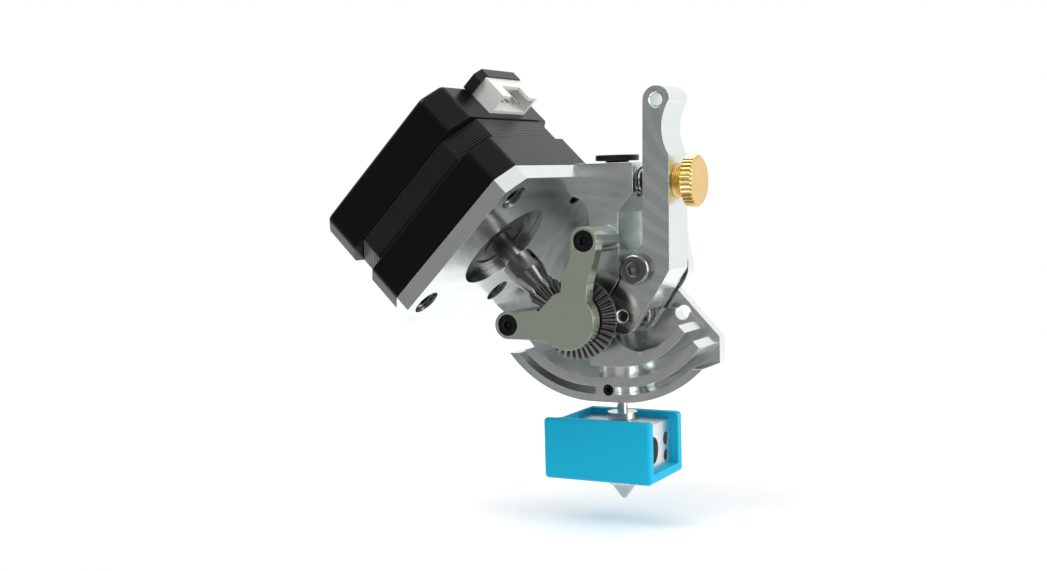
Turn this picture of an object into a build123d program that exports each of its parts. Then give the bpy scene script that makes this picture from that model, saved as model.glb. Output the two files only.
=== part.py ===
from build123d import *
import os
from math import acos, atan2, cos, degrees, pi, radians, sin, sqrt, tan

# Angled-motor direct extruder with its hot end.
# +X right, +Y back towards the carriage, +Z up, millimetres.
# The origin is on the rear mounting face, on the line of the two carriage
# bolts, straight behind the filament and level with the drive shaft.

# ---------------------------------------------------------------- layout
GEAR_CENTRES = 7.5                       # drive shaft to idler shaft
DRIVE_X = -GEAR_CENTRES / 2
IDLER_X = GEAR_CENTRES / 2
FILAMENT_Y = -7.5
MOTOR_Y = -25.0                          # plane of the motor shaft
MOTOR_TILT = 45.0
APEX_TO_PLATE = 22.2                     # drive shaft to the motor plate, along the motor shaft
BODY_FRONT = -15.0
PLATE_FRONT = -3.0                       # front of the rear mounting plate
BODY_TOP = 33.5

# ---------------------------------------------------------------- gears
MODULE = 0.5
RING_TEETH = 36
PINION_TEETH = 13
SPUR_TEETH = 15
TOE_SCALE = 0.70                         # toe over heel, measured from the cone apex
PRESSURE = 25.0
RING_R = RING_TEETH * MODULE / 2
PINION_R = PINION_TEETH * MODULE / 2
HALF_GAP = 0.035                         # each tooth flank is set back by this

# ---------------------------------------------------------------- motor
FLANGE = 42.3
FLANGE_CORNER = 4.0
PLATE_T = 3.7
FRONT_CAP_L = 8.5
STATOR_L = 6.1
REAR_CAP_L = 9.7
PILOT_R = 11.0
PILOT_H = 2.0
SCREW_PITCH = 31.0
SHAFT_R = 2.5

# ---------------------------------------------------------------- drive line
DRIVE_SHAFT_R = 2.0
COVER_FRONT = MOTOR_Y - 2.3
COVER_T = 3.3
COVER_SCREWS = [(0.6, 17.1), (-18.1, -1.2)]
COVER_BOSS_R = 3.05
BEARING_R = 5.0
BEARING_T = 4.0

# ---------------------------------------------------------------- lever
LEVER_BACK = -4.35
PIVOT = (7.5, 10.4)
SPRING_Y = (BODY_FRONT + LEVER_BACK) / 2
SPRING_Z = 29.2
EYE = (12.6, 46.6)

# ---------------------------------------------------------------- hot end
SINK_BOTTOM = -19.1
NECK_BOTTOM = -22.3
BLOCK_TOP = -23.9
BLOCK_H = 10.0
NOZZLE_TIP = -42.0
BLOCK_X = (-9.4, 9.9)
BLOCK_Y = (-18.05, -3.9)
HEATER_Y = -13.75
HEATER_Z = -29.6

os.makedirs("parts", exist_ok=True)


def save(solid, name):
    """Label a finished sub-part and write it to its own file."""
    solid.label = name
    export_step(solid, f"parts/{name}.step")


# ---------------------------------------------------------------- planes
tilt = radians(MOTOR_TILT)
axis = Vector(cos(tilt), 0, -sin(tilt))              # motor shaft, towards the gears
across = Vector(sin(tilt), 0, cos(tilt))             # up the motor plate
apex = Vector(DRIVE_X, MOTOR_Y, 0)
plate_centre = apex - axis * APEX_TO_PLATE
motor_plane = Plane(origin=plate_centre, x_dir=across, z_dir=axis)
pinion_plane = Plane(origin=apex, x_dir=across, z_dir=axis * -1)
ring_plane = Plane(origin=apex, x_dir=(1, 0, 0), z_dir=(0, 1, 0))


def facing(y):
    """Plane across Y whose sketch reads X to the right and Z up; its normal points to -Y."""
    return Plane(origin=(0, y, 0), x_dir=(1, 0, 0), z_dir=(0, -1, 0))


def disc_y(x, z, front, back, r, mode=Mode.ADD):
    """Add or cut a round bar along Y in the open part."""
    with BuildSketch(facing(back)) as disc:
        with Locations((x, z)):
            Circle(r)
    extrude(disc.sketch, amount=back - front, mode=mode)


def motor_at(z):
    """Plane square to the motor shaft, z along it from the plate's outer face."""
    return motor_plane.offset(z)


def disc_motor(points, low, high, r, mode=Mode.ADD):
    """Add or cut round bars along the motor shaft, at points on the motor plate."""
    with BuildSketch(motor_at(low)) as discs:
        with Locations(*points):
            Circle(r)
    extrude(discs.sketch, amount=high - low, mode=mode)


def square_motor(size, corner, low, high, mode=Mode.ADD):
    """Add or cut a square bar with cut corners along the motor shaft."""
    with BuildSketch(motor_at(low)) as square:
        Rectangle(size, size)
        chamfer(square.vertices(), corner)
    extrude(square.sketch, amount=high - low, mode=mode)


def hex_socket(plane, x, y, across_flats, depth):
    """Cut a hexagonal key socket into the open part, down from a plane."""
    with BuildSketch(plane) as key:
        with Locations((x, y)):
            RegularPolygon(across_flats / sqrt(3), 6)
    extrude(key.sketch, amount=-depth, mode=Mode.SUBTRACT)


def bar_x(y, z, low, high, r, mode=Mode.ADD):
    """Add or cut a round bar along X in the open part."""
    with BuildSketch(Plane(origin=(low, y, z), x_dir=(0, 1, 0), z_dir=(1, 0, 0))) as disc:
        Circle(r)
    extrude(disc.sketch, amount=high - low, mode=mode)


def bar_z(x, y, low, high, r, mode=Mode.ADD):
    """Add or cut a round bar along Z in the open part."""
    with BuildSketch(Plane(origin=(x, y, low))) as disc:
        Circle(r)
    extrude(disc.sketch, amount=high - low, mode=mode)


# ---------------------------------------------------------------- bevel gears
def involute_angle(r_base, r):
    """Involute function of the pressure angle at radius r."""
    a = acos(min(1.0, r_base / r))
    return tan(a) - a


def tooth_outline(virtual_r, addendum, dedendum, embed):
    """Tooth profile on the back cone: (height above the pitch line, half width) pairs."""
    r_base = virtual_r * cos(radians(PRESSURE))
    half_pitch = (pi * MODULE / 4 - HALF_GAP) / virtual_r
    start = max(-dedendum, r_base - virtual_r + 0.005)
    right = []
    for i in range(5):
        h = start + (addendum - start) * i / 4
        r = virtual_r + h
        angle = half_pitch + involute_angle(r_base, virtual_r) - involute_angle(r_base, r)
        right.append((r * cos(angle) - virtual_r, r * sin(angle)))
    foot = (-dedendum - embed, right[0][1])
    right = [foot] + right
    return right + [(u, -v) for u, v in reversed(right)]


def bevel_teeth(plane, teeth, pitch_r, distance, addendum, dedendum, phase, run_out=0):
    """Straight bevel teeth, each ruled from heel to toe, with tails that run out behind the heel."""
    cone = atan2(pitch_r, distance)
    points = tooth_outline(pitch_r / cos(cone), addendum, dedendum, 0.25)
    with BuildPart() as one:
        for scale in (1.0, TOE_SCALE):
            heel = Vector(pitch_r, 0, distance) * scale
            section = Plane(
                origin=heel, x_dir=(cos(cone), 0, -sin(cone)), z_dir=(sin(cone), 0, cos(cone))
            )
            with BuildSketch(section):
                with BuildLine():
                    Polyline(*[(u * scale, v * scale) for u, v in points], close=True)
                make_face()
        loft(ruled=True)
        if run_out:
            heel = Vector(pitch_r, 0, distance)
            sections = [
                (heel, (cos(cone), 0, -sin(cone)), (sin(cone), 0, cos(cone)), 1.0),
                (Vector(pitch_r - 0.35, 0, run_out), (1, 0, 0), (0, 0, 1), 0.6),
            ]
            for origin, x_dir, z_dir, scale in sections:
                with BuildSketch(Plane(origin=origin, x_dir=x_dir, z_dir=z_dir)):
                    with BuildLine():
                        Polyline(*[(u * scale, v * scale) for u, v in points], close=True)
                    make_face()
            loft(ruled=True)
    tooth = one.part
    turned = [tooth.rotate(Axis.Z, phase + 360.0 * i / teeth) for i in range(teeth)]
    return [plane.from_local_coords(t) for t in turned]


def cone_points(pitch_r, distance, dedendum, scale):
    """Point on the root cone at a fraction of the cone distance: (radius, height)."""
    cone = atan2(pitch_r, distance)
    return (
        scale * (pitch_r - dedendum * cos(cone)),
        scale * (distance + dedendum * sin(cone)),
    )


RING_ADD, RING_DED = 0.32, 0.60
PINION_ADD, PINION_DED = 0.45, 0.45

# ring gear: its toothed face looks towards -Y
RING_HUB_R = 3.9
RING_FLOOR = 3.3                         # floor inside the teeth, measured from the apex plane
RING_BACK = 5.3
RING_HUB_END = 7.5
heel_in = cone_points(RING_R, PINION_R, RING_DED, 1.01)
toe_in = cone_points(RING_R, PINION_R, RING_DED, TOE_SCALE * 0.99)
mesh_angle = degrees(atan2(-axis.Z, -axis.X))
with BuildPart() as ring_gear:
    with BuildSketch(Plane(origin=apex, x_dir=(1, 0, 0), z_dir=(0, 0, 1))):
        with BuildLine():
            Polyline(
                (DRIVE_SHAFT_R, RING_HUB_END),
                (RING_HUB_R, RING_HUB_END),
                (RING_HUB_R, RING_BACK),
                (heel_in[0] - 0.7, RING_BACK),
                (heel_in[0], heel_in[1] + 0.35),
                heel_in,
                toe_in,
                (toe_in[0] - 0.05, RING_FLOOR),
                (DRIVE_SHAFT_R, RING_FLOOR),
                close=True,
            )
        make_face()
    revolve(axis=Axis(apex, (0, 1, 0)))
    half_tooth = 180.0 / RING_TEETH
    add(bevel_teeth(ring_plane, RING_TEETH, RING_R, PINION_R, RING_ADD, RING_DED,
                    half_tooth - mesh_angle))
    hub_screw_y = MOTOR_Y + (RING_BACK + RING_HUB_END) / 2
    with BuildSketch(Plane(origin=(DRIVE_X, hub_screw_y, 0))):
        Circle(0.8)
    extrude(amount=RING_HUB_R + 0.2, mode=Mode.SUBTRACT)
save(ring_gear.part, "ring_gear")

with BuildPart() as ring_gear_set_screw:
    bar_z(DRIVE_X, hub_screw_y, DRIVE_SHAFT_R, RING_HUB_R - 0.3, 0.8)
save(ring_gear_set_screw.part, "ring_gear_set_screw")

# pinion: local Z runs from the cone apex towards the motor
PINION_HUB_R = 3.8
HUB_START = 13.9                         # from the apex: end of the cone behind the teeth
HUB_END = APEX_TO_PLATE - 4.2
PINION_BACK = 10.4                       # from the apex: where the tooth ends run out behind
NECK_PINION_R = 2.7
pin_heel = cone_points(PINION_R, RING_R, PINION_DED, 1.01)
pin_toe = cone_points(PINION_R, RING_R, PINION_DED, TOE_SCALE * 0.99)
BORE_END = pin_heel[1] + 2.2
with BuildPart() as pinion_gear:
    with BuildSketch(Plane(origin=apex, x_dir=across, z_dir=(0, -1, 0))):
        with BuildLine():
            Polyline(
                (0.9, pin_toe[1]),
                pin_toe,
                pin_heel,
                (NECK_PINION_R, PINION_BACK),
                (PINION_HUB_R, HUB_START),
                (PINION_HUB_R, HUB_END),
                (SHAFT_R, HUB_END),
                (SHAFT_R, BORE_END),
                (0.9, BORE_END),
                close=True,
            )
        make_face()
    revolve(axis=Axis(apex, axis * -1))
    add(bevel_teeth(pinion_plane, PINION_TEETH, PINION_R, RING_R, PINION_ADD, PINION_DED, 90,
                    PINION_BACK))
    hub_screw = pinion_plane.offset((HUB_START + HUB_END) / 2)
    hub_screw_plane = Plane(origin=hub_screw.origin, x_dir=axis, z_dir=across)
    with BuildSketch(hub_screw_plane):
        Circle(1.25)
    extrude(amount=PINION_HUB_R + 0.2, mode=Mode.SUBTRACT)
save(pinion_gear.part, "pinion_gear")

with BuildPart() as pinion_set_screw:
    with BuildSketch(hub_screw_plane.offset(SHAFT_R)):
        Circle(1.25)
    extrude(amount=PINION_HUB_R - SHAFT_R - 0.2)
    hex_socket(hub_screw_plane.offset(PINION_HUB_R - 0.2), 0, 0, 1.3, 0.6)
save(pinion_set_screw.part, "pinion_set_screw")

# ---------------------------------------------------------------- spur and hobbed gears
HOB_R = 3.65
HOB_GROOVE_R = 0.95
HOB_HALF = 1.7
SPUR_ADD, SPUR_DED = 0.42, 0.58
SPUR_FRONT, SPUR_BACK = -12.7, -9.4
HOB_BACK = FILAMENT_Y + HOB_HALF


def spur_profile(phase):
    """Spur tooth outlines and the root disc in the open sketch, centred on the origin."""
    pitch_r = SPUR_TEETH * MODULE / 2
    Circle(pitch_r - SPUR_DED)
    points = tooth_outline(pitch_r, SPUR_ADD, SPUR_DED, 0.2)
    for i in range(SPUR_TEETH):
        turn = radians(phase + 360.0 * i / SPUR_TEETH)
        placed = [
            ((pitch_r + u) * cos(turn) - v * sin(turn), (pitch_r + u) * sin(turn) + v * cos(turn))
            for u, v in points
        ]
        Polygon(*placed, align=None)


def hobbed_gear(x, bore_r, phase):
    """Gear with spur teeth in front and a grooved filament wheel behind."""
    with BuildPart() as gear:
        centre = Plane(origin=(x, SPUR_BACK, 0), x_dir=(1, 0, 0), z_dir=(0, -1, 0))
        with BuildSketch(centre):
            spur_profile(phase)
        extrude(amount=SPUR_BACK - SPUR_FRONT)
        disc_y(x, 0, SPUR_BACK, HOB_BACK, HOB_R)
        with BuildSketch(Plane(origin=(x, FILAMENT_Y, 0))):
            with Locations((GEAR_CENTRES / 2, 0)):
                Circle(HOB_GROOVE_R)
        revolve(axis=Axis((x, FILAMENT_Y, 0), (0, 1, 0)), mode=Mode.SUBTRACT)
        disc_y(x, 0, SPUR_FRONT - 1, HOB_BACK + 1, bore_r, Mode.SUBTRACT)
    return gear.part


IDLER_PIN_R = 1.25
BUSH_R = 2.05
save(hobbed_gear(DRIVE_X, DRIVE_SHAFT_R, 0), "drive_gear")
save(hobbed_gear(IDLER_X, BUSH_R, 180 + 180.0 / SPUR_TEETH), "idler_gear")

REAR_BEARING = (-4.2, -0.2)
COVER_BEARING = (COVER_FRONT + 1.0, COVER_FRONT + 1.0 + BEARING_T)
with BuildPart() as drive_shaft:
    disc_y(DRIVE_X, 0, COVER_BEARING[0], REAR_BEARING[1], DRIVE_SHAFT_R)
    chamfer(drive_shaft.edges().filter_by(GeomType.CIRCLE), 0.25)
save(drive_shaft.part, "drive_shaft")


def bearing_y(x, z, front, back, outer, inner):
    """Shielded ball bearing as an inner ring, an outer ring and a shield between them."""
    with BuildPart() as bearing:
        disc_y(x, z, front, back, outer)
        mid_in = inner + (outer - inner) * 0.28
        mid_out = outer - (outer - inner) * 0.28
        for face, depth in ((front, 0.25), (back - 0.25, 0.25)):
            with BuildSketch(facing(face + depth)):
                with Locations((x, z)):
                    Circle(mid_out)
                    Circle(mid_in, mode=Mode.SUBTRACT)
            extrude(amount=depth, mode=Mode.SUBTRACT)
        disc_y(x, z, front, back, inner, Mode.SUBTRACT)
    return bearing.part


RUNNING = 0.02
save(bearing_y(DRIVE_X, 0, *COVER_BEARING, BEARING_R, DRIVE_SHAFT_R + RUNNING), "cover_bearing")
save(bearing_y(DRIVE_X, 0, *REAR_BEARING, BEARING_R, DRIVE_SHAFT_R + RUNNING), "rear_bearing")

# ---------------------------------------------------------------- gear cover
CAP_HEAD_R = 2.25
CAP_HEAD_H = 2.4
CAP_SHANK_R = 1.25
DISC_R = 6.3
HEAD_POCKET = 2.3
with BuildPart() as gear_cover:
    with BuildSketch(facing(COVER_FRONT + COVER_T)):
        with Locations((DRIVE_X, 0)):
            Circle(DISC_R)
        with Locations(*COVER_SCREWS):
            Circle(COVER_BOSS_R)
        Polygon(
            (-2.4, 17.1), (-2.7, 13.1), (-4.7, 9.2), (-5.0, 6.2), (DRIVE_X, 0),
            (0.9, 3.6), (1.3, 7.9), (3.45, 15.2), (3.6, 17.1), align=None,
        )
        Polygon(
            (-18.1, 1.85), (-15.8, 1.5), (-11.2, 2.3), (-8.4, 4.3), (DRIVE_X, 0),
            (-6.4, -5.7), (-9.0, -4.55), (-12.6, -4.3), (-18.1, -4.25), align=None,
        )
    extrude(amount=COVER_T)
    with BuildSketch(pinion_plane.offset(RING_R * TOE_SCALE - 0.2)):
        Circle(PINION_R + 0.95)
    extrude(amount=14, mode=Mode.SUBTRACT)
    disc_y(DRIVE_X, 0, COVER_BEARING[0], MOTOR_Y + 5, BEARING_R, Mode.SUBTRACT)
    for x, z in COVER_SCREWS:
        disc_y(x, z, COVER_FRONT - 1, COVER_FRONT + HEAD_POCKET, CAP_HEAD_R + 0.15, Mode.SUBTRACT)
        disc_y(x, z, COVER_FRONT - 1, COVER_FRONT + 5, CAP_SHANK_R + 0.15, Mode.SUBTRACT)
save(gear_cover.part, "gear_cover")

COVER_SCREW_END = -17.5
with BuildPart() as cover_screws:
    for x, z in COVER_SCREWS:
        seat = COVER_FRONT + HEAD_POCKET
        disc_y(x, z, seat - CAP_HEAD_H + 0.3, seat, CAP_HEAD_R)
        disc_y(x, z, seat, COVER_SCREW_END, CAP_SHANK_R)
        hex_socket(facing(seat - CAP_HEAD_H + 0.3), x, z, 2.0, 1.2)
save(cover_screws.part, "cover_screws")

# ---------------------------------------------------------------- motor
MOTOR_FACE = -PLATE_T
STATOR_FRONT = MOTOR_FACE - FRONT_CAP_L
STATOR_BACK = STATOR_FRONT - STATOR_L
MOTOR_REAR = STATOR_BACK - REAR_CAP_L
CORNER_SCREWS = [(sx * SCREW_PITCH / 2, sy * SCREW_PITCH / 2) for sx in (-1, 1) for sy in (-1, 1)]
CASE_SCREW_R = 1.5
STATOR_CORNER = 6.6
CAN_R = 18.4
ROTOR_R = 12.0
MOTOR_BEARING_R = 8.0
MOTOR_BEARING_T = 5.0
M3_R = 1.5
M3_HEAD_R = 2.75
M3_HEAD_H = 1.7
MOUNT_POCKET = 2.5

CAP_EDGE_R = 2.0
with BuildPart() as motor_front_cap:
    square_motor(FLANGE, FLANGE_CORNER, STATOR_FRONT, MOTOR_FACE)
    fillet(motor_front_cap.edges().filter_by(Axis(apex, axis)), CAP_EDGE_R)
    disc_motor([(0, 0)], MOTOR_FACE, MOTOR_FACE + PILOT_H, PILOT_R)
    disc_motor([(0, 0)], STATOR_FRONT - 1, MOTOR_FACE - 3.2, CAN_R, Mode.SUBTRACT)
    disc_motor([(0, 0)], MOTOR_FACE - 3.2, MOTOR_FACE - 3.0 + MOTOR_BEARING_T, MOTOR_BEARING_R,
               Mode.SUBTRACT)
    disc_motor([(0, 0)], MOTOR_FACE, MOTOR_FACE + PILOT_H + 1, SHAFT_R + 1.5, Mode.SUBTRACT)
    disc_motor(CORNER_SCREWS, MOTOR_FACE - 4.5, MOTOR_FACE + 1, M3_R, Mode.SUBTRACT)
    disc_motor(CORNER_SCREWS, STATOR_FRONT - 1, STATOR_FRONT + 3, CASE_SCREW_R, Mode.SUBTRACT)
save(motor_front_cap.part, "motor_front_cap")

with BuildPart() as motor_stator:
    square_motor(FLANGE - 0.6, STATOR_CORNER, STATOR_BACK, STATOR_FRONT)
    disc_motor([(0, 0)], STATOR_BACK - 1, STATOR_FRONT + 1, ROTOR_R + 0.35, Mode.SUBTRACT)
    with BuildSketch(motor_at(STATOR_BACK - 1)):
        with PolarLocations(15.2, 8):
            Rectangle(5.0, 5.6)
    extrude(amount=STATOR_L + 2, mode=Mode.SUBTRACT)
    disc_motor(CORNER_SCREWS, STATOR_BACK - 1, STATOR_FRONT + 1, CASE_SCREW_R, Mode.SUBTRACT)
save(motor_stator.part, "motor_stator")

COIL_OVERHANG = 2.2
with BuildPart() as motor_windings:
    with BuildSketch(motor_at(STATOR_BACK - COIL_OVERHANG)):
        with PolarLocations(15.2, 8):
            Rectangle(4.6, 5.2)
    extrude(amount=STATOR_L + 2 * COIL_OVERHANG)
save(motor_windings.part, "motor_windings")

with BuildPart() as motor_rear_cap:
    square_motor(FLANGE, FLANGE_CORNER, MOTOR_REAR, STATOR_BACK)
    fillet(motor_rear_cap.edges().filter_by(Axis(apex, axis)), CAP_EDGE_R)
    rear_rim = motor_rear_cap.faces().sort_by(Axis(apex, axis))[0].edges()
    fillet(rear_rim, 1.0)
    disc_motor([(0, 0)], MOTOR_REAR + 3.0, STATOR_BACK + 1, CAN_R, Mode.SUBTRACT)
    disc_motor([(0, 0)], MOTOR_REAR + 1.0, MOTOR_REAR + 3.5, MOTOR_BEARING_R, Mode.SUBTRACT)
    disc_motor(CORNER_SCREWS, MOTOR_REAR - 1, STATOR_BACK + 1, CASE_SCREW_R, Mode.SUBTRACT)
    disc_motor(CORNER_SCREWS, MOTOR_REAR - 1, MOTOR_REAR + 2.2, M3_HEAD_R + 0.15, Mode.SUBTRACT)
save(motor_rear_cap.part, "motor_rear_cap")

with BuildPart() as motor_case_screws:
    disc_motor(CORNER_SCREWS, MOTOR_REAR + 2.2, STATOR_FRONT + 3, CASE_SCREW_R)
    disc_motor(CORNER_SCREWS, MOTOR_REAR + 0.4, MOTOR_REAR + 2.2, M3_HEAD_R)
    for x, y in CORNER_SCREWS:
        hex_socket(motor_at(MOTOR_REAR + 0.4), x, y, 2.0, -1.0)
save(motor_case_screws.part, "motor_case_screws")


def bearing_motor(low, high):
    """Shielded ball bearing on the motor shaft."""
    with BuildPart() as bearing:
        disc_motor([(0, 0)], low, high, MOTOR_BEARING_R)
        for face in (low, high - 0.25):
            with BuildSketch(motor_at(face)):
                Circle(6.6)
                Circle(4.0, mode=Mode.SUBTRACT)
            extrude(amount=0.25, mode=Mode.SUBTRACT)
        disc_motor([(0, 0)], low - 1, high + 1, SHAFT_R + RUNNING, Mode.SUBTRACT)
    return bearing.part


REAR_RACE = MOTOR_REAR + 1.0
save(bearing_motor(MOTOR_FACE - 3.0, MOTOR_FACE - 3.0 + MOTOR_BEARING_T), "motor_front_bearing")
save(bearing_motor(REAR_RACE, REAR_RACE + MOTOR_BEARING_T), "motor_rear_bearing")

SHAFT_TIP = APEX_TO_PLATE - BORE_END
with BuildPart() as motor_shaft:
    disc_motor([(0, 0)], REAR_RACE + 0.3, SHAFT_TIP, SHAFT_R)
    chamfer(motor_shaft.edges().filter_by(GeomType.CIRCLE), 0.3)
save(motor_shaft.part, "motor_shaft")

ROTOR_SPAN = (STATOR_BACK - 1.0, STATOR_FRONT + 1.0)
with BuildPart() as motor_rotor:
    disc_motor([(0, 0)], *ROTOR_SPAN, ROTOR_R)
    with BuildSketch(motor_at(ROTOR_SPAN[0] - 1)):
        with PolarLocations(ROTOR_R, 50):
            Rectangle(0.7, 0.7)
    extrude(amount=ROTOR_SPAN[1] - ROTOR_SPAN[0] + 2, mode=Mode.SUBTRACT)
    disc_motor([(0, 0)], ROTOR_SPAN[0] - 1, ROTOR_SPAN[1] + 1, SHAFT_R, Mode.SUBTRACT)
save(motor_rotor.part, "motor_rotor")

MOUNT_SEAT = -MOUNT_POCKET
with BuildPart() as motor_mount_screws:
    disc_motor(CORNER_SCREWS, MOUNT_SEAT, MOUNT_SEAT + M3_HEAD_H, M3_HEAD_R)
    disc_motor(CORNER_SCREWS, MOTOR_FACE - 4.0, MOUNT_SEAT, M3_R)
    for x, y in CORNER_SCREWS:
        hex_socket(motor_at(MOUNT_SEAT + M3_HEAD_H), x, y, 2.5, 1.0)
save(motor_mount_screws.part, "motor_mount_screws")

# connector on the motor's upper side: across is up, the cable leaves towards the plate
SIDE = FLANGE / 2
SOCKET_W, SOCKET_L, SOCKET_H = 15.6, 5.8, 4.9
SOCKET_Z = (-25.6, -25.6 + SOCKET_L)
CONNECTOR_Y = -0.8


def box_on_side(low_z, high_z, low_x, high_x, width, mode=Mode.ADD):
    """Box on the motor's upper side: z along the shaft, x up, width across."""
    with BuildSketch(motor_at(low_z)) as box:
        with Locations(((low_x + high_x) / 2, CONNECTOR_Y)):
            Rectangle(high_x - low_x, width)
    extrude(box.sketch, amount=high_z - low_z, mode=mode)


with BuildPart() as connector_bracket:
    box_on_side(MOTOR_REAR + 0.1, SOCKET_Z[0], SIDE, SIDE + 5.3, 17.4)
    along = connector_bracket.edges().filter_by(Axis(apex, axis))
    chamfer(along.sort_by(Axis(apex, across))[-2:], 1.6)
save(connector_bracket.part, "connector_bracket")

with BuildPart() as connector_socket:
    box_on_side(*SOCKET_Z, SIDE, SIDE + SOCKET_H, SOCKET_W)
    box_on_side(SOCKET_Z[0] + 1.2, SOCKET_Z[1] + 1, SIDE + 0.8, SIDE + SOCKET_H - 0.8,
                SOCKET_W - 1.8, Mode.SUBTRACT)
    box_on_side(SOCKET_Z[0] + 2.4, SOCKET_Z[1] + 1, SIDE + SOCKET_H - 1, SIDE + SOCKET_H + 1,
                8.0, Mode.SUBTRACT)
save(connector_socket.part, "connector_socket")

PIN_PITCH = 2.5
with BuildPart() as connector_pins:
    with BuildSketch(motor_at(SOCKET_Z[0] + 1.2)):
        with Locations((SIDE + SOCKET_H / 2, CONNECTOR_Y)):
            with GridLocations(0, PIN_PITCH, 1, 4):
                Rectangle(0.5, 0.5)
    extrude(amount=3.6)
save(connector_pins.part, "connector_pins")

# ---------------------------------------------------------------- lever
PIVOT_SHANK_R = 2.0
PIVOT_BUSH_R = 3.0
SCREW_R = 3.75
LEVER_SLOT = (-13.0, -5.5)
PIN_HOLE_R = IDLER_PIN_R


def lever_outline():
    """Lever outline in the open sketch: eye, thumb hollow, arm and idler end."""
    with BuildLine() as outline:
        Polyline((EYE[0] - 3.05, EYE[1]), (8.85, 16.1), (6.65, 13.95), (4.15, 10.9), (3.8, 8.3),
                 (1.15, 4.1), (0.0, 1.55))
        ThreePointArc((0.0, 1.55), (0.9, -2.85), (4.3, -4.05))
        ThreePointArc((4.3, -4.05), (5.7, -3.55), (6.75, -2.45))
        Polyline((6.75, -2.45), (12.8, 6.6), (15.0, 10.25), (15.35, 34.8))
        ThreePointArc((15.35, 34.8), (13.8, 40.1), (EYE[0] + 3.05, EYE[1]))
        ThreePointArc((EYE[0] + 3.05, EYE[1]), (EYE[0], EYE[1] + 3.05), (EYE[0] - 3.05, EYE[1]))
    make_face(outline.edges())


with BuildPart() as idler_lever:
    with BuildSketch(facing(LEVER_BACK)):
        lever_outline()
    extrude(amount=LEVER_BACK - BODY_FRONT)
    with BuildSketch(facing(LEVER_SLOT[1])):
        with Locations((IDLER_X, 0)):
            Circle(4.75)
        Polygon((IDLER_X - 4.75, 0), (IDLER_X - 4.75, -6), (10, -6), (10, 1.2), (7.4, 3.0), align=None)
    extrude(amount=LEVER_SLOT[1] - LEVER_SLOT[0], mode=Mode.SUBTRACT)
    disc_y(IDLER_X, 0, BODY_FRONT - 1, LEVER_BACK + 1, PIN_HOLE_R, Mode.SUBTRACT)
    disc_y(*PIVOT, BODY_FRONT - 1, LEVER_BACK + 1, PIVOT_BUSH_R, Mode.SUBTRACT)
    disc_y(*EYE, BODY_FRONT - 1, LEVER_BACK + 1, 1.45, Mode.SUBTRACT)
    bar_x(SPRING_Y, SPRING_Z, 5, 20, SCREW_R + 0.05, Mode.SUBTRACT)
    front_rims = idler_lever.faces().sort_by(Axis.Y)[0].edges().filter_by(GeomType.CIRCLE)
    chamfer([rim for rim in front_rims if rim.radius < 1.5], 0.25)
save(idler_lever.part, "idler_lever")

with BuildPart() as lever_bushing:
    disc_y(*PIVOT, BODY_FRONT, LEVER_BACK, PIVOT_BUSH_R)
    disc_y(*PIVOT, BODY_FRONT - 1, LEVER_BACK + 1, PIVOT_SHANK_R + RUNNING, Mode.SUBTRACT)
save(lever_bushing.part, "lever_bushing")

PIVOT_HEAD_R = 3.4
with BuildPart() as lever_pivot_screw:
    disc_y(*PIVOT, BODY_FRONT - 2.1, BODY_FRONT - 0.15, PIVOT_HEAD_R)
    fillet(lever_pivot_screw.edges().filter_by(GeomType.CIRCLE).sort_by(Axis.Y)[0], 0.7)
    disc_y(*PIVOT, BODY_FRONT - 0.15, LEVER_BACK + 0.15, PIVOT_SHANK_R)
    disc_y(*PIVOT, LEVER_BACK + 0.15, -0.6, M3_R)
    hex_socket(facing(BODY_FRONT - 2.1), *PIVOT, 2.5, 1.4)
save(lever_pivot_screw.part, "lever_pivot_screw")

with BuildPart() as idler_pin:
    disc_y(IDLER_X, 0, BODY_FRONT + 0.7, LEVER_BACK - 0.4, IDLER_PIN_R)
save(idler_pin.part, "idler_pin")

with BuildPart() as idler_bushing:
    disc_y(IDLER_X, 0, SPUR_FRONT, HOB_BACK, BUSH_R)
    disc_y(IDLER_X, 0, SPUR_FRONT - 1, HOB_BACK + 1, IDLER_PIN_R + RUNNING, Mode.SUBTRACT)
save(idler_bushing.part, "idler_bushing")

# ---------------------------------------------------------------- tension screw and spring
SPRING_SEAT_X = 3.6
SPRING_R = 2.95
SPRING_WIRE = 0.75
PLUNGER_X = (9.15, 10.5)
HEAD_X = (17.4, 20.4)
HEAD_R = 5.6
with BuildPart() as thumb_screw:
    bar_x(SPRING_Y, SPRING_Z, PLUNGER_X[1], HEAD_X[0], SCREW_R)
    bar_x(SPRING_Y, SPRING_Z, *HEAD_X, HEAD_R)
    chamfer(thumb_screw.edges().filter_by(GeomType.CIRCLE).sort_by(Axis.X)[-1], 0.4)
save(thumb_screw.part, "thumb_screw")

with BuildPart() as spring_plunger:
    bar_x(SPRING_Y, SPRING_Z, *PLUNGER_X, SPRING_R)
    bar_x(SPRING_Y, SPRING_Z, PLUNGER_X[0] - 2.0, PLUNGER_X[0], SPRING_R - SPRING_WIRE - 0.35)
save(spring_plunger.part, "spring_plunger")

with BuildPart() as tension_spring:
    bar_x(SPRING_Y, SPRING_Z, SPRING_SEAT_X, PLUNGER_X[0], SPRING_R)
    bar_x(SPRING_Y, SPRING_Z, SPRING_SEAT_X - 1, PLUNGER_X[0] + 1, SPRING_R - SPRING_WIRE,
          Mode.SUBTRACT)
save(tension_spring.part, "tension_spring")

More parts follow.
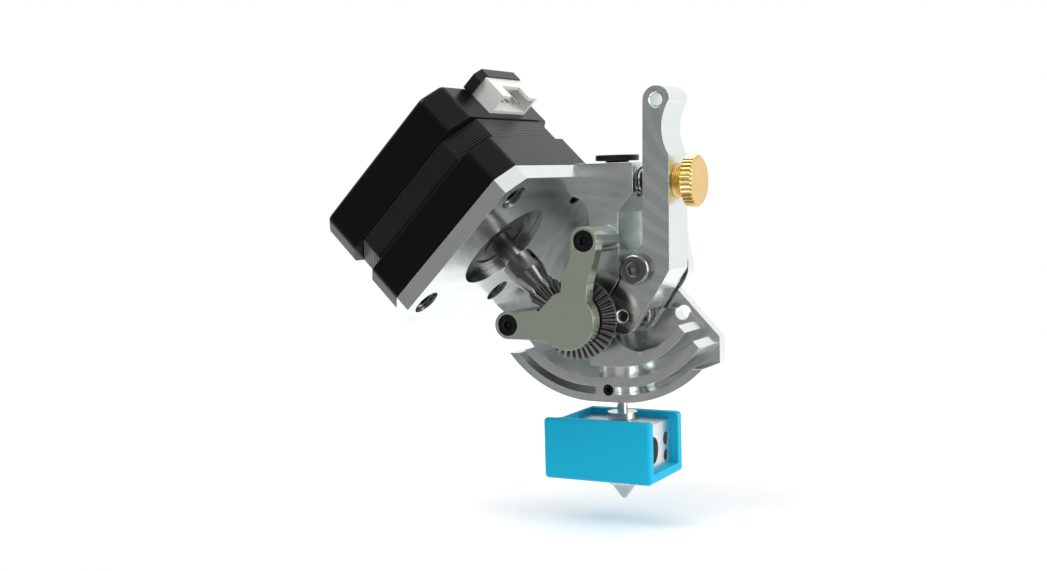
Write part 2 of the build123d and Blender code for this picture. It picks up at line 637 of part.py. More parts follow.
# ---------------------------------------------------------------- filament entry
COLLET_R = 4.85
COLLET_T = 1.3
COLLET_GAP = 0.45
SEAT_R = 3.1
SEAT_DEPTH = 7.0
SLEEVE_R = 2.6
FILAMENT_R = 1.0
with BuildPart() as filament_collet:
    bar_z(0, FILAMENT_Y, BODY_TOP + COLLET_GAP, BODY_TOP + COLLET_GAP + COLLET_T, COLLET_R)
    fillet(filament_collet.edges().filter_by(GeomType.CIRCLE), 0.25)
    bar_z(0, FILAMENT_Y, BODY_TOP - 4.0, BODY_TOP + COLLET_GAP + 0.3, SLEEVE_R)
    bar_z(0, FILAMENT_Y, BODY_TOP - 6, BODY_TOP + 4, FILAMENT_R + 0.05, Mode.SUBTRACT)
save(filament_collet.part, "filament_collet")

with BuildPart() as collet_seat:
    bar_z(0, FILAMENT_Y, BODY_TOP - SEAT_DEPTH, BODY_TOP, SEAT_R)
    bar_z(0, FILAMENT_Y, BODY_TOP - 5.6, BODY_TOP + 1, SLEEVE_R + 0.05, Mode.SUBTRACT)
    bar_z(0, FILAMENT_Y, BODY_TOP - 10, BODY_TOP + 1, FILAMENT_R, Mode.SUBTRACT)
save(collet_seat.part, "collet_seat")

# ---------------------------------------------------------------- hot end
BREAK_TOP = -7.6
BREAK_R = 3.0
NECK_R = 1.25
LINER_R = 1.6
LINER_TOP = -3.5
with BuildPart() as heat_break:
    bar_z(0, FILAMENT_Y, SINK_BOTTOM - 0.2, BREAK_TOP, BREAK_R)
    bar_z(0, FILAMENT_Y, NECK_BOTTOM, SINK_BOTTOM - 0.2, NECK_R)
    bar_z(0, FILAMENT_Y, BLOCK_TOP, NECK_BOTTOM, 3.35)
    chamfer(heat_break.edges().filter_by(GeomType.CIRCLE).group_by(Axis.Z)[0], 0.25)
    bar_z(0, FILAMENT_Y, BLOCK_TOP - 5.0, BLOCK_TOP, 3.0)
    bar_z(0, FILAMENT_Y, BLOCK_TOP - 6, BREAK_TOP + 1, FILAMENT_R, Mode.SUBTRACT)
save(heat_break.part, "heat_break")

with BuildPart() as ptfe_liner:
    bar_z(0, FILAMENT_Y, BREAK_TOP, LINER_TOP, LINER_R)
    bar_z(0, FILAMENT_Y, BREAK_TOP - 1, LINER_TOP + 1, FILAMENT_R, Mode.SUBTRACT)
save(ptfe_liner.part, "ptfe_liner")

BREAK_SCREW_Z = -16.4
BREAK_SCREW_R = 1.3
with BuildPart() as heat_break_set_screw:
    disc_y(0, BREAK_SCREW_Z, BODY_FRONT + 0.6, FILAMENT_Y - BREAK_R, BREAK_SCREW_R)
    hex_socket(facing(BODY_FRONT + 0.6), 0, BREAK_SCREW_Z, 1.3, 1.0)
save(heat_break_set_screw.part, "heat_break_set_screw")

BLOCK_BOTTOM = BLOCK_TOP - BLOCK_H
HEATER_R = 3.05
SENSOR_Y = -6.5
SENSOR_Z = -27.95
GRUB_Z = -31.75
GRUB_R = 1.25
block_size = (BLOCK_X[1] - BLOCK_X[0], BLOCK_Y[1] - BLOCK_Y[0])
block_centre = ((BLOCK_X[0] + BLOCK_X[1]) / 2, (BLOCK_Y[0] + BLOCK_Y[1]) / 2)
with BuildPart() as heater_block:
    with BuildSketch(Plane.XY.offset(BLOCK_BOTTOM)):
        with Locations(block_centre):
            Rectangle(*block_size)
    extrude(amount=BLOCK_H)
    chamfer(heater_block.edges().filter_by(Axis.Z), 0.3)
    bar_x(HEATER_Y, HEATER_Z, BLOCK_X[0] - 1, BLOCK_X[1] + 1, HEATER_R, Mode.SUBTRACT)
    bar_z(0, FILAMENT_Y, BLOCK_BOTTOM - 1, BLOCK_TOP + 1, 3.0, Mode.SUBTRACT)
    bar_x(SENSOR_Y, SENSOR_Z, BLOCK_X[1] - 5.2, BLOCK_X[1] + 1, 1.45, Mode.SUBTRACT)
    bar_x(SENSOR_Y, GRUB_Z, BLOCK_X[1] - 5.2, BLOCK_X[1] + 1, GRUB_R, Mode.SUBTRACT)
save(heater_block.part, "heater_block")

with BuildPart() as block_grub_screws:
    bar_x(SENSOR_Y, GRUB_Z, BLOCK_X[1] - 5.2, BLOCK_X[1] - 1.0, GRUB_R)
save(block_grub_screws.part, "block_grub_screws")

NOZZLE_HEX_TOP = BLOCK_BOTTOM - 1.0
NOZZLE_HEX_H = 3.6
with BuildPart() as nozzle:
    bar_z(0, FILAMENT_Y, NOZZLE_HEX_TOP, BLOCK_TOP - 5.0, 3.0)
    with BuildSketch(Plane(origin=(0, FILAMENT_Y, NOZZLE_HEX_TOP - NOZZLE_HEX_H))):
        RegularPolygon(7.0 / sqrt(3), 6)
    extrude(amount=NOZZLE_HEX_H)
    cone_top = NOZZLE_HEX_TOP - NOZZLE_HEX_H
    with BuildSketch(Plane(origin=(0, FILAMENT_Y, 0), x_dir=(1, 0, 0), z_dir=(0, -1, 0))):
        with BuildLine():
            Polyline((0, cone_top), (3.1, cone_top), (0.5, NOZZLE_TIP), (0, NOZZLE_TIP), close=True)
        make_face()
    revolve(axis=Axis((0, FILAMENT_Y, 0), (0, 0, 1)))
    bar_z(0, FILAMENT_Y, NOZZLE_TIP + 1.2, BLOCK_TOP, FILAMENT_R, Mode.SUBTRACT)
    bar_z(0, FILAMENT_Y, NOZZLE_TIP - 1, NOZZLE_TIP + 2, 0.2, Mode.SUBTRACT)
save(nozzle.part, "nozzle")

SOCK_X = (-10.85, 11.8)
SOCK_Y = (-19.95, -1.05)
SOCK_Z = (-36.1, -22.5)
SOCK_FLAP_LEFT = -13.85                  # left end of the front wall, past the side wall
with BuildPart() as silicone_sock:
    with BuildSketch(Plane.XY.offset(SOCK_Z[0])):
        Polygon((SOCK_FLAP_LEFT, SOCK_Y[0]), (SOCK_X[1], SOCK_Y[0]), (SOCK_X[1], SOCK_Y[1]),
                (SOCK_X[0], SOCK_Y[1]), (SOCK_X[0], BLOCK_Y[0]), (SOCK_FLAP_LEFT, BLOCK_Y[0]),
                align=None)
    extrude(amount=SOCK_Z[1] - SOCK_Z[0])
    fillet(silicone_sock.edges(), 0.9)
    with BuildSketch(Plane.XY.offset(BLOCK_BOTTOM)):
        with Locations(((BLOCK_X[0] + 30) / 2, block_centre[1])):
            Rectangle(30 - BLOCK_X[0], block_size[1])
    extrude(amount=20, mode=Mode.SUBTRACT)
    bar_z(0, FILAMENT_Y, SOCK_Z[0] - 1, BLOCK_BOTTOM + 1, 4.4, Mode.SUBTRACT)
save(silicone_sock.part, "silicone_sock")

# ---------------------------------------------------------------- main body
FIN_RADII = [(19.05, 0), (23.6, 21.5), (27.0, 25.3)]     # outer and inner radius of each fin
LEFT_C = (-3.4, 7.9)
RIGHT_C = (2.8, 7.9)
FIN_LEFT_TOP = (0.0, -8.2, -9.0)         # level at which each fin stops on the left
FIN_END_SUM = 15.1                       # fins stop on the right along X + Z = this
CORE_LEFT = -4.2
CHAMBER_R = 4.75
CHAMBER_WALL_R = 7.3
CHAMBER_BACK = -4.9
LEVER_CAVITY = (7.8, -0.44, 7.25)
FIN_1_INNER_R = 16.9
POST_R = (2.8, 3.0)
BOLT_X = 13.5
BOLT_R = 1.6


def polar(centre, r, angle):
    """Point on a circle about a centre, angle in degrees."""
    return (centre[0] + r * cos(radians(angle)), centre[1] + r * sin(radians(angle)))


def stadium(r, mode=Mode.ADD):
    """Rounded bottom outline in the open sketch: two circles and the bar between them."""
    with Locations(LEFT_C, RIGHT_C):
        Circle(r, mode=mode)
    with Locations(((LEFT_C[0] + RIGHT_C[0]) / 2, LEFT_C[1] - r / 2)):
        Rectangle(RIGHT_C[0] - LEFT_C[0], r, mode=mode)


rear_r = FIN_RADII[2][0]
right_angle = -degrees(acos((21.75 - RIGHT_C[0]) / rear_r))
left_angle = 216.8
with BuildPart() as main_body:
    # rear plate
    with BuildSketch(facing(0)):
        with BuildLine():
            Polyline(
                (14.3, 12.9), (13.6, 17.5), (9.0, 24.0), (6.85, 27.0), (6.85, BODY_TOP),
                (-6.85, BODY_TOP), (-7.11, 33.27), (-37.02, 3.36), (-34.4, 0.74), (-32.6, -0.75),
                polar(LEFT_C, rear_r, left_angle),
            )
            ThreePointArc(
                polar(LEFT_C, rear_r, left_angle), polar(LEFT_C, rear_r, (left_angle + 270) / 2),
                polar(LEFT_C, rear_r, 270),
            )
            Line(polar(LEFT_C, rear_r, 270), polar(RIGHT_C, rear_r, 270))
            ThreePointArc(
                polar(RIGHT_C, rear_r, -90), polar(RIGHT_C, rear_r, (right_angle - 90) / 2),
                polar(RIGHT_C, rear_r, right_angle),
            )
            Polyline(polar(RIGHT_C, rear_r, right_angle), (21.75, -5.3), (12.1, 5.0))
            ThreePointArc((12.1, 5.0), (14.7, 9.9), (14.3, 12.9))
        make_face()
    extrude(amount=-PLATE_FRONT)

    # heat sink core and curved fins
    for (outer, inner), left_top in zip(FIN_RADII, FIN_LEFT_TOP):
        with BuildSketch(facing(PLATE_FRONT)):
            stadium(outer)
            if inner:
                stadium(inner, Mode.SUBTRACT)
                Polygon((-60, left_top), (0, left_top), (0, 60), (-60, 60), align=None,
                        mode=Mode.SUBTRACT)
            else:
                Polygon((-60, -60), (CORE_LEFT, -60), (CORE_LEFT, 60), (-60, 60), align=None,
                        mode=Mode.SUBTRACT)
            Polygon((-1, 1), (FIN_END_SUM - 1, 1), (60, FIN_END_SUM - 60), (60, 60), (-60, 60),
                    (-60, 1), align=None, mode=Mode.SUBTRACT)
            if outer == rear_r:
                Polygon((0, -10.9), (60, -10.9), (60, 60), (0, 60), align=None, mode=Mode.SUBTRACT)
        extrude(amount=PLATE_FRONT - BODY_FRONT)
    with BuildSketch(facing(PLATE_FRONT)):
        with Locations((-0.6, -16.5)):
            Rectangle(4.8, 3.6)
    extrude(amount=PLATE_FRONT - BODY_FRONT)
    bar_z(0, FILAMENT_Y, SINK_BOTTOM, -9.0, 5.0)

    # column and top block
    with BuildSketch(facing(PLATE_FRONT)):
        with BuildLine():
            Polyline(
                (-8.0, 26.45), (-8.4, 28.0), (-6.85, BODY_TOP), (6.85, BODY_TOP), (6.85, 27.06),
                (3.8, 23.65), (3.2, 22.6), (3.2, 8.1), (0.75, 4.55), (0.75, 0), (DRIVE_X, 0),
                (DRIVE_X, 20.7),
            )
            ThreePointArc((DRIVE_X, 20.7), (-5.3, 25.1), (-8.0, 26.45))
        make_face()
        with Locations((DRIVE_X, 0)):
            Circle(CHAMBER_WALL_R)
        Polygon((3.2, 8.1), (0.75, 4.5), (-0.4, 1.9), (0, 0), (8, 0), (8, 8.1), align=None,
                mode=Mode.SUBTRACT)
    extrude(amount=PLATE_FRONT - BODY_FRONT)

    # cover posts
    for (x, z), r, back in zip(COVER_SCREWS, POST_R, (BODY_FRONT, PLATE_FRONT)):
        disc_y(x, z, COVER_FRONT + COVER_T, back, r)
    disc_y(*PIVOT, LEVER_BACK + 0.15, PLATE_FRONT, 3.6)

    # motor plate, run back to meet the rear plate
    square_motor(FLANGE, FLANGE_CORNER, MOTOR_FACE, 0)
    with BuildSketch(motor_at(MOTOR_FACE)):
        with Locations((0, (MOTOR_Y - 8.0) / 2)):
            Rectangle(FLANGE, -MOTOR_Y - 8.0)
    extrude(amount=PLATE_T)
    disc_motor([(0, 0)], MOTOR_FACE - 1, 1, PILOT_R + 0.1, Mode.SUBTRACT)
    disc_motor(CORNER_SCREWS, MOTOR_FACE - 1, 1, M3_R + 0.15, Mode.SUBTRACT)
    disc_motor(CORNER_SCREWS, MOUNT_SEAT, 1, M3_HEAD_R + 0.25, Mode.SUBTRACT)

    # gear chamber, bearing seat and the room for the lever
    disc_y(DRIVE_X, 0, BODY_FRONT - 1, CHAMBER_BACK, CHAMBER_R, Mode.SUBTRACT)
    disc_y(DRIVE_X, 0, CHAMBER_BACK - 0.1, REAR_BEARING[0], CHAMBER_R, Mode.SUBTRACT)
    disc_y(DRIVE_X, 0, REAR_BEARING[0], 1, BEARING_R, Mode.SUBTRACT)
    disc_y(IDLER_X, 0, BODY_FRONT - 1, REAR_BEARING[0], 4.55, Mode.SUBTRACT)
    disc_y(*LEVER_CAVITY[:2], BODY_FRONT - 1, REAR_BEARING[0], LEVER_CAVITY[2], Mode.SUBTRACT)
    with BuildSketch(facing(REAR_BEARING[0])):
        with Locations(RIGHT_C):
            Circle(FIN_1_INNER_R)
        with Locations((LEVER_CAVITY[0] - 30, 0)):
            Rectangle(60, 60, mode=Mode.SUBTRACT)
    extrude(amount=REAR_BEARING[0] - BODY_FRONT + 1, mode=Mode.SUBTRACT)

    # filament path, hot end seat and collet seat
    bar_z(0, FILAMENT_Y, BREAK_TOP - 1, BODY_TOP, FILAMENT_R + 0.1, Mode.SUBTRACT)
    bar_z(0, FILAMENT_Y, BREAK_TOP, 0, LINER_R, Mode.SUBTRACT)
    bar_z(0, FILAMENT_Y, SINK_BOTTOM - 1, BREAK_TOP, BREAK_R, Mode.SUBTRACT)
    bar_z(0, FILAMENT_Y, BODY_TOP - SEAT_DEPTH, BODY_TOP + 1, SEAT_R, Mode.SUBTRACT)
    disc_y(0, BREAK_SCREW_Z, BODY_FRONT - 1, FILAMENT_Y, BREAK_SCREW_R, Mode.SUBTRACT)

    # threaded and clearance holes
    bar_x(SPRING_Y, SPRING_Z, SPRING_SEAT_X, 8, SPRING_R + 0.35, Mode.SUBTRACT)
    disc_y(*PIVOT, LEVER_BACK, -0.6, M3_R, Mode.SUBTRACT)
    for x, z in COVER_SCREWS:
        disc_y(x, z, MOTOR_Y, COVER_SCREW_END, CAP_SHANK_R, Mode.SUBTRACT)
    for x in (-BOLT_X, BOLT_X):
        disc_y(x, 0, REAR_BEARING[0] - 0.1, 1, BOLT_R, Mode.SUBTRACT)
save(main_body.part, "main_body")
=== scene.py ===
from math import cos, pi, radians, sin

import bpy
from mathutils import Matrix, Vector


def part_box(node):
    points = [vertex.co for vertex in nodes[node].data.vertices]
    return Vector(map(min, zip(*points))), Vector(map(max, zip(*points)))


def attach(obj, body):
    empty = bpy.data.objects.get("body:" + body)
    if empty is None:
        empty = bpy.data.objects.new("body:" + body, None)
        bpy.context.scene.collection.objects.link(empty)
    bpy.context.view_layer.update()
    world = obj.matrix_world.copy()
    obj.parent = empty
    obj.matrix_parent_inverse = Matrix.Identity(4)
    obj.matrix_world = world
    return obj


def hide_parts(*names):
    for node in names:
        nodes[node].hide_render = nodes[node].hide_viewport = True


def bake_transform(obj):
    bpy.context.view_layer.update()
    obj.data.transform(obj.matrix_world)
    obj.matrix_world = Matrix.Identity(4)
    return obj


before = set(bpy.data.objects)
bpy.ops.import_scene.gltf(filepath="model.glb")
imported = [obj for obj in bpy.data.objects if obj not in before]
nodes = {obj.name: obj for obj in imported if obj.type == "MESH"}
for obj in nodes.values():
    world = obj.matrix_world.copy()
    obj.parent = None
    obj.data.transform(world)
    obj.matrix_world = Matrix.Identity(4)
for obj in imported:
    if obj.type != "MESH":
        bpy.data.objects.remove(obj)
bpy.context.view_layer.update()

# ------------------------------------------------------------------ layout
MM = 0.001
MOTOR_TILT = radians(45)
MOTOR_AXIS = Vector((cos(MOTOR_TILT), 0, -sin(MOTOR_TILT)))
MOTOR_UP = Vector((sin(MOTOR_TILT), 0, cos(MOTOR_TILT)))
APEX = Vector((-3.75, -25.0, 0)) * MM              # where the motor and drive shafts would meet
APEX_TO_PLATE = 22.2
SPRING = Vector((0, -9.675, 29.2)) * MM            # on the axis of the spring and thumb screw
FRONT = Vector((0, -1, 0))
RIGHTWARDS = Vector((1, 0, 0))
FLAT = (0, 0, 0)                                   # turns of the machining marks
TILTED = (0, -MOTOR_TILT, 0)


# ------------------------------------------------------------------ materials
WAVE_SCALE = 0.314                                 # scale at which a wave repeats every metre


def add_node(tree, kind, **values):
    """New shader node with its sockets and settings filled in."""
    node = tree.nodes.new(kind)
    for key, value in values.items():
        if hasattr(node, key):
            setattr(node, key, value)
        else:
            node.inputs[key.replace("_", " ")].default_value = value
    return node


def wave(tree, coords, turn, centre, period, kind, direction):
    """Machining marks: straight or circular lines of one period, about a centre."""
    place = add_node(tree, "ShaderNodeMapping", vector_type="POINT")
    place.inputs["Rotation"].default_value = turn
    moved = add_node(tree, "ShaderNodeVectorMath", operation="SUBTRACT")
    moved.inputs[1].default_value = centre
    tree.links.new(coords, moved.inputs[0])
    tree.links.new(moved.outputs[0], place.inputs["Vector"])
    lines = add_node(tree, "ShaderNodeTexWave", wave_type=kind)
    if kind == "BANDS":
        lines.bands_direction = direction
    else:
        lines.rings_direction = direction
    lines.inputs["Scale"].default_value = WAVE_SCALE / period
    lines.inputs["Distortion"].default_value = 0.6
    lines.inputs["Detail"].default_value = 2.0
    lines.inputs["Detail Scale"].default_value = 1.5
    tree.links.new(place.outputs[0], lines.inputs["Vector"])
    return lines.outputs["Fac"]


def finish_of(name, colour, metallic, roughness, grain=0.25, bump=0.12, patch=0.10, marks=(),
              edge=0.12, specular=0.5, spread=0.05):
    """Surface with grain, patchy tone, machining marks and softened edges; sizes in millimetres.

    Each of the marks is (turn, centre, period, kind, direction, height).
    """
    made = bpy.data.materials.new(name)
    made.use_nodes = True
    tree = made.node_tree
    shade = tree.nodes["Principled BSDF"]
    shade.inputs["Metallic"].default_value = metallic
    shade.inputs["Specular IOR Level"].default_value = specular
    coords = add_node(tree, "ShaderNodeTexCoord").outputs["Object"]
    fine = add_node(tree, "ShaderNodeTexNoise", Scale=1.0 / (grain * MM), Detail=4.0, Roughness=0.6)
    broad = add_node(tree, "ShaderNodeTexNoise", Scale=1.0 / (6 * MM), Detail=3.0, Roughness=0.55)
    tree.links.new(coords, fine.inputs["Vector"])
    tree.links.new(coords, broad.inputs["Vector"])
    height = fine.outputs["Fac"]
    texture = fine.outputs["Fac"]
    for turn, centre, period, kind, direction, weight in marks:
        texture = wave(tree, coords, turn, centre, period * MM, kind, direction)
        scaled = add_node(tree, "ShaderNodeMath", operation="MULTIPLY_ADD")
        scaled.inputs[1].default_value = weight
        tree.links.new(texture, scaled.inputs[0])
        tree.links.new(height, scaled.inputs[2])
        height = scaled.outputs[0]
    tone = add_node(tree, "ShaderNodeMix", data_type="RGBA")
    tone.inputs[6].default_value = [c * (1 - patch) for c in colour] + [1]
    tone.inputs[7].default_value = [min(1, c * (1 + patch)) for c in colour] + [1]
    tree.links.new(broad.outputs["Fac"], tone.inputs[0])
    tree.links.new(tone.outputs[2], shade.inputs["Base Color"])
    rough = add_node(tree, "ShaderNodeMapRange")
    rough.inputs["From Min"].default_value = 0.3
    rough.inputs["From Max"].default_value = 0.7
    rough.inputs["To Min"].default_value = roughness - 0.02
    rough.inputs["To Max"].default_value = roughness + spread
    tree.links.new(texture, rough.inputs["Value"])
    tree.links.new(rough.outputs["Result"], shade.inputs["Roughness"])
    relief = add_node(tree, "ShaderNodeBump")
    relief.inputs["Strength"].default_value = bump
    relief.inputs["Distance"].default_value = 0.05 * MM
    tree.links.new(height, relief.inputs["Height"])
    if edge:
        soft = add_node(tree, "ShaderNodeBevel", samples=4)
        soft.inputs["Radius"].default_value = edge * MM
        tree.links.new(soft.outputs[0], relief.inputs["Normal"])
    tree.links.new(relief.outputs[0], shade.inputs["Normal"])
    return made


def wear(*names, material):
    """Give CAD nodes a material."""
    for name in names:
        nodes[name].data.materials.clear()
        nodes[name].data.materials.append(material)


body_metal = finish_of(
    "milled_aluminium", (0.82, 0.86, 0.85), 1.0, 0.22, grain=0.35, bump=0.05, patch=0.05,
    marks=[(FLAT, (-0.004, 0, 0.004), 2.6, "RINGS", "Y", 0.10)], spread=0.02,
)
lever_metal = finish_of(
    "milled_lever", (0.78, 0.83, 0.80), 1.0, 0.22, grain=0.3, bump=0.05, patch=0.05,
    marks=[(FLAT, (0.030, 0, 0.048), 3.6, "RINGS", "Y", 0.3)], spread=0.06,
)
cover_metal = finish_of(
    "ground_cover", (0.74, 0.82, 0.69), 1.0, 0.25, grain=0.2, bump=0.03, patch=0.03,
    marks=[(FLAT, (-0.03, 0, 0.01), 1.4, "RINGS", "Y", 0.05)], spread=0.01,
)
motor_paint = finish_of(
    "black_motor_paint", (0.0015, 0.0015, 0.0016), 0.0, 0.27, grain=0.12, bump=0.05, patch=0.2,
    specular=0.22, edge=0.3,
)
lamination = finish_of(
    "stacked_laminations", (0.002, 0.002, 0.0022), 0.0, 0.28, grain=0.3, bump=0.08, patch=0.3,
    specular=0.5, edge=0,
)
gear_metal = finish_of(
    "cut_gear_steel", (0.19, 0.19, 0.18), 1.0, 0.28, grain=0.15, bump=0.12, patch=0.12, edge=0.06,
)
turned_dark = finish_of(
    "turned_dark_steel", (0.26, 0.26, 0.25), 1.0, 0.26, grain=0.15, bump=0.12, patch=0.12, edge=0.06,
)
ground_steel = finish_of(
    "ground_steel", (0.62, 0.62, 0.61), 1.0, 0.18, grain=0.1, bump=0.1, patch=0.06, edge=0.08,
)
hub_steel = finish_of(
    "turned_hub_steel", (0.17, 0.17, 0.16), 1.0, 0.20, grain=0.2, bump=0.08, patch=0.08, edge=0.08,
    marks=[(TILTED, tuple(APEX), 0.9, "BANDS", "X", 0.05)], spread=0.0,
)
black_oxide = finish_of(
    "black_oxide", (0.006, 0.006, 0.006), 0.4, 0.25, grain=0.12, bump=0.12, patch=0.2, edge=0.08,
)
plain_screw = finish_of(
    "grey_screw_steel", (0.22, 0.22, 0.21), 1.0, 0.22, grain=0.15, bump=0.1, patch=0.1, edge=0.1,
)
bearing_steel = finish_of(
    "bearing_steel", (0.06, 0.06, 0.06), 0.8, 0.3, grain=0.1, bump=0.1, patch=0.08, edge=0.08,
)
brass = finish_of(
    "turned_brass", (0.80, 0.56, 0.22), 1.0, 0.24, grain=0.2, bump=0.08, patch=0.05, edge=0.1,
    marks=[(FLAT, tuple(SPRING), 0.5, "RINGS", "X", 0.2)],
)
copper = finish_of(
    "enamelled_copper", (0.62, 0.24, 0.10), 1.0, 0.3, grain=0.15, bump=0.3, patch=0.1,
    marks=[(TILTED, tuple(APEX), 0.35, "BANDS", "X", 2.0)], edge=0,
)
spring_wire = finish_of("spring_wire", (0.50, 0.50, 0.49), 1.0, 0.22, grain=0.1, bump=0.1, edge=0)
white_plastic = finish_of(
    "white_connector_plastic", (0.80, 0.80, 0.76), 0.0, 0.42, grain=0.2, bump=0.06, patch=0.03,
)
black_plastic = finish_of(
    "black_plastic", (0.006, 0.006, 0.006), 0.0, 0.35, grain=0.2, bump=0.1, patch=0.1, specular=0.35,
)
ptfe = finish_of("waxy_white", (0.8, 0.8, 0.78), 0.0, 0.45, grain=0.3, bump=0.05, edge=0)
block_metal = finish_of(
    "milled_block", (0.76, 0.77, 0.78), 1.0, 0.28, grain=0.3, bump=0.04, patch=0.06,
)
nozzle_metal = finish_of(
    "plated_nozzle", (0.66, 0.64, 0.60), 1.0, 0.22, grain=0.15, bump=0.08, patch=0.06,
    marks=[(FLAT, (0, -0.0075, 0), 0.6, "BANDS", "Z", 0.05)], spread=0.0,
)
silicone = finish_of(
    "blue_silicone", (0.001, 0.43, 0.67), 0.0, 0.55, grain=0.25, bump=0.08, patch=0.03, specular=0.25,
    edge=0.25,
)

wear("main_body", material=body_metal)
wear("idler_lever", material=lever_metal)
wear("gear_cover", material=cover_metal)
wear("motor_front_cap", "motor_rear_cap", material=motor_paint)
wear("motor_stator", "motor_rotor", material=lamination)
wear("ring_gear", material=gear_metal)
wear("pinion_gear", material=hub_steel)
wear("drive_gear", "idler_gear", "idler_bushing", "lever_bushing", "spring_plunger", "motor_shaft",
     material=turned_dark)
wear("drive_shaft", "idler_pin", "connector_pins", "heat_break", material=ground_steel)
wear("cover_bearing", "rear_bearing", "motor_front_bearing", "motor_rear_bearing",
     material=bearing_steel)
wear("cover_screws", "motor_mount_screws", "motor_case_screws", "ring_gear_set_screw",
     "pinion_set_screw", "heat_break_set_screw", "block_grub_screws", material=black_oxide)
wear("lever_pivot_screw", material=plain_screw)
wear("thumb_screw", "collet_seat", material=brass)
wear("motor_windings", material=copper)
wear("tension_spring", material=spring_wire)
wear("connector_socket", material=white_plastic)
wear("connector_bracket", "filament_collet", material=black_plastic)
wear("ptfe_liner", material=ptfe)
wear("heater_block", material=block_metal)
wear("nozzle", material=nozzle_metal)
wear("silicone_sock", material=silicone)


# ------------------------------------------------------------------ made pieces
def make_mesh(name, points, faces, material, smooth=False):
    """New piece from points and faces."""
    data = bpy.data.meshes.new(name)
    data.from_pydata([tuple(p) for p in points], [], faces)
    for polygon in data.polygons:
        polygon.use_smooth = smooth
    made = bpy.data.objects.new(name, data)
    bpy.context.scene.collection.objects.link(made)
    data.materials.append(material)
    return made


def stand_in(node):
    """Hide a CAD node that a made piece stands in for."""
    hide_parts(node)


def skin(rows, around):
    """Faces of a closed tube of rows of points, with both ends capped."""
    faces = []
    for j in range(rows - 1):
        for i in range(around):
            k = (i + 1) % around
            faces.append((j * around + i, j * around + k, (j + 1) * around + k, (j + 1) * around + i))
    faces.append(tuple(reversed(range(around))))
    faces.append(tuple(range((rows - 1) * around, rows * around)))
    return faces


def lathe(rings, sides, origin, along, side_a):
    """Points and faces of a turned shape; rings are (height, radius), and a radius may vary by angle."""
    side_b = along.cross(side_a)
    points = []
    for height, radius in rings:
        for i in range(sides):
            angle = 2 * pi * i / sides
            r = radius(angle) if callable(radius) else radius
            points.append(origin + along * height + (side_a * cos(angle) + side_b * sin(angle)) * r)
    return points, skin(len(rings), sides)


def knurled(radius, depth, ridges):
    """Radius that dips between straight knurl ridges."""
    return lambda angle: radius - depth * (0.5 + 0.5 * cos(angle * ridges)) ** 0.6


def hexagon(across_flats):
    """Radius of a hexagonal socket by angle."""
    return lambda angle: across_flats / 2 / cos((angle % radians(60)) - radians(30))


# thumb screw with a knurled head and a fine thread
RIDGES = 34
RIDGE_DEPTH = 0.40 * MM
NECK_R = 3.75 * MM
THREAD_DEPTH = 0.22 * MM
THREAD_TURNS = 14
HEAD_L = 3.0 * MM
low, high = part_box("thumb_screw")
head_r = (high.z - low.z) / 2
head_start = high.x - HEAD_L
pitch = (head_start - low.x) / THREAD_TURNS
knurl = knurled(head_r - 0.01 * MM, RIDGE_DEPTH, RIDGES)
rings = []
for i in range(THREAD_TURNS):
    rings += [(low.x + pitch * i, NECK_R - THREAD_DEPTH), (low.x + pitch * (i + 0.5), NECK_R)]
rings += [
    (head_start - 0.05 * MM, NECK_R - 0.1 * MM),
    (head_start, NECK_R),
    (head_start, head_r - 0.6 * MM),
    (head_start + 0.35 * MM, knurl),
    (high.x - 0.55 * MM, knurl),
    (high.x - 0.12 * MM, head_r - 0.55 * MM),
    (high.x - 0.02 * MM, head_r - 0.75 * MM),
    (high.x - 0.06 * MM, head_r - 3.0 * MM),
]
screw_origin = Vector((0, SPRING.y, SPRING.z))
points, faces = lathe(rings, RIDGES * 8, screw_origin, RIGHTWARDS, Vector((0, 1, 0)))
screw = make_mesh("knurled_thumb_screw", points, faces, brass)
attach(screw, "screw")
stand_in("thumb_screw")


# socket head screws, sizes in millimetres
SCREW_SIDES = 144
COVER_SCREW = {"head": (2.25, 2.1), "shank": (1.25, 7.5), "key": (2.0, 1.2), "edge": 0.25, "ridges": 30}
SHOULDER_SCREW = {"head": (3.4, 1.95), "shank": (2.0, 10.6), "key": (2.5, 1.4), "edge": 0.55}
MOUNT_SCREW = {"head": (2.75, 1.7), "shank": (1.5, 5.0), "key": (2.5, 1.0), "edge": 0.3}
CASE_SCREW = {"head": (2.75, 1.8), "shank": (1.5, 15.0), "key": (2.0, 1.0), "edge": 0.5}
COVER_SCREWS = {"upper": (0.6, -25.0, 17.1), "lower": (-18.1, -25.0, -1.2)}
SHOULDER_SEAT = (7.5, -15.15, 10.4)
MOTOR_SCREWS = [(15.5, 15.5), (15.5, -15.5), (-15.5, 15.5), (-15.5, -15.5)]
MOUNT_SEAT = -2.5
CASE_SEAT = -25.8


